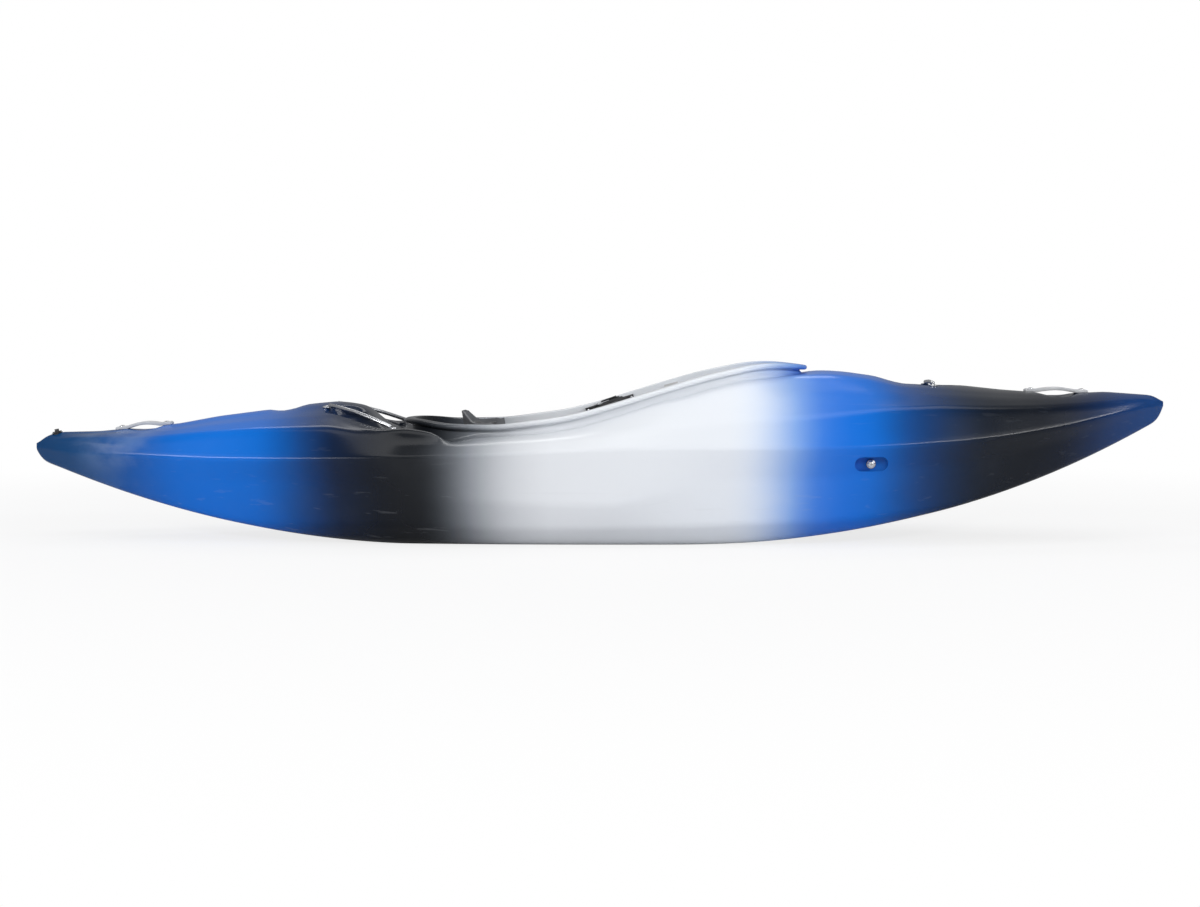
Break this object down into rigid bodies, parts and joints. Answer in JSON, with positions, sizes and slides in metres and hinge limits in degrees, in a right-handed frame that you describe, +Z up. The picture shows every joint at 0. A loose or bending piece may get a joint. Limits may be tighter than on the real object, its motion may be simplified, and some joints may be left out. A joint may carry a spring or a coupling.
{
  "type": "whitewater kayak",
  "caption": "Short, rockered whitewater kayak with a raised cockpit rim, deck grab handles, security bars, foam pillars, sliding seat and footbrace, thigh braces and a ratchet backband.",
  "frame": {"origin": "on the ground plane under the middle of the hull's length and beam, at the bottom centre of the bounding box", "axes": "+X towards the bow, +Y to port, +Z up"},
  "size_m": [2.6, 0.6584, 0.4014],
  "materials": {
    "hull_plastic": "rotationally moulded polyethylene in blended blue, black and white, satin to gloss",
    "rubber": "dull moulded rubber",
    "black_nylon": "moulded black nylon, fine grain",
    "handle_plastic": "moulded plastic strap",
    "stainless": "stainless steel, domed heads",
    "aluminium_bar": "drawn aluminium, satin",
    "bracket_plastic": "pale moulded plastic",
    "outfitting_plastic": "moulded black polyethylene",
    "lock_plastic": "moulded red plastic",
    "closed_cell_foam": "closed-cell foam",
    "pad_cover": "foam with a stretch fabric face"
  },
  "bodies": {
    "hull": {"hull_shell": "hull_plastic", "drain_plug_seat": "black_nylon", "bow_grab_handle": "handle_plastic", "stern_grab_handle": "handle_plastic", "grab_handle_bolts": "stainless", "rear_security_bar_right": "aluminium_bar", "rear_security_bar_left": "aluminium_bar", "front_security_bar": "aluminium_bar", "security_bar_screws": "stainless", "bow_foam_pillar": "closed_cell_foam", "stern_foam_pillar": "closed_cell_foam", "footbrace_rail_right": "aluminium_bar", "footbrace_rail_left": "aluminium_bar", "footbrace_bolts": "stainless", "footbrace_bolt_seals": "rubber", "seat_track": "outfitting_plastic", "thigh_brackets": "bracket_plastic", "thigh_bracket_bolts": "stainless", "ratchet_base_right": "black_nylon", "ratchet_base_left": "black_nylon", "ratchet_screws": "stainless", "ratchet_pins": "stainless", "ratchet_springs": "stainless"},
    "drain_plug": {"drain_plug": "rubber"},
    "footbrace": {"foot_plate": "outfitting_plastic", "foot_plate_pad": "closed_cell_foam", "footbrace_lock_pins": "stainless"},
    "footbrace_lock_right": {"footbrace_lock_right": "lock_plastic"},
    "footbrace_lock_left": {"footbrace_lock_left": "lock_plastic"},
    "seat": {"seat_pan": "outfitting_plastic", "seat_pad": "pad_cover", "hip_pad_right": "pad_cover", "hip_pad_left": "pad_cover"},
    "seat_lock_knob": {"seat_lock_knob": "black_nylon"},
    "thigh_brace_right": {"thigh_brace_right": "outfitting_plastic", "thigh_pad_right": "pad_cover"},
    "thigh_brace_left": {"thigh_brace_left": "outfitting_plastic", "thigh_pad_left": "pad_cover"},
    "backband": {"backband_shell": "outfitting_plastic", "backband_pad": "pad_cover", "ladder_strap_right": "black_nylon", "ladder_strap_left": "black_nylon", "strap_rivets": "stainless"},
    "ratchet_lever_right": {"ratchet_lever_right": "black_nylon"},
    "ratchet_lever_left": {"ratchet_lever_left": "black_nylon"},
    "ratchet_pawl_right": {"ratchet_pawl_right": "stainless"},
    "ratchet_pawl_left": {"ratchet_pawl_left": "stainless"}
  },
  "joints": [
    {"name": "drain_plug_pull", "type": "slide", "parent": "hull", "child": "drain_plug", "axis": [-0.2036, 0, 0.979], "range_m": [0, 0.03]},
    {"name": "footbrace_slide", "type": "slide", "parent": "hull", "child": "footbrace", "axis": [1, 0, 0], "range_m": [-0.09, 0.09]},
    {"name": "footbrace_lock_right_release", "type": "hinge", "parent": "footbrace", "child": "footbrace_lock_right", "pos_m": [0.576, -0.195, 0.2033], "axis": [0, 1, 0], "range_deg": [0, 20], "stiffness_Nm_per_rad": 0.05, "springref_deg": -11.46},
    {"name": "footbrace_lock_left_release", "type": "hinge", "parent": "footbrace", "child": "footbrace_lock_left", "pos_m": [0.576, 0.195, 0.2033], "axis": [0, 1, 0], "range_deg": [0, 20], "stiffness_Nm_per_rad": 0.05, "springref_deg": -11.46},
    {"name": "seat_slide", "type": "slide", "parent": "hull", "child": "seat", "axis": [1, 0, 0], "range_m": [-0.03, 0.03]},
    {"name": "seat_lock_knob_turn", "type": "hinge", "parent": "seat", "child": "seat_lock_knob", "pos_m": [0.007, 0, 0.026], "axis": [0, 0, 1], "range_deg": [0, 540]},
    {"name": "thigh_brace_right_slide", "type": "slide", "parent": "hull", "child": "thigh_brace_right", "axis": [0.9523, 0.1709, 0.2527], "range_m": [-0.025, 0.025]},
    {"name": "thigh_brace_left_slide", "type": "slide", "parent": "hull", "child": "thigh_brace_left", "axis": [0.9523, -0.1709, 0.2527], "range_m": [-0.025, 0.025]},
    {"name": "backband_slide", "type": "slide", "parent": "hull", "child": "backband", "axis": [0.9577, 0, 0.2879], "range_m": [-0.05, 0.02]},
    {"name": "ratchet_lever_right_lift", "type": "hinge", "parent": "hull", "child": "ratchet_lever_right", "pos_m": [0.04658, -0.20136, 0.30929], "axis": [0, 1, 0], "range_deg": [0, 65], "stiffness_Nm_per_rad": 0.02, "springref_deg": -17.19},
    {"name": "ratchet_lever_left_lift", "type": "hinge", "parent": "hull", "child": "ratchet_lever_left", "pos_m": [0.04658, 0.20136, 0.30929], "axis": [0, 1, 0], "range_deg": [0, 65], "stiffness_Nm_per_rad": 0.02, "springref_deg": -17.19},
    {"name": "ratchet_pawl_right_release", "type": "hinge", "parent": "hull", "child": "ratchet_pawl_right", "pos_m": [0.01622, -0.20136, 0.29912], "axis": [0, 1, 0], "range_deg": [-12, 0], "stiffness_Nm_per_rad": 0.01, "springref_deg": 17.19},
    {"name": "ratchet_pawl_left_release", "type": "hinge", "parent": "hull", "child": "ratchet_pawl_left", "pos_m": [0.01622, 0.20136, 0.29912], "axis": [0, 1, 0], "range_deg": [-12, 0], "stiffness_Nm_per_rad": 0.01, "springref_deg": 17.19}
  ]
}
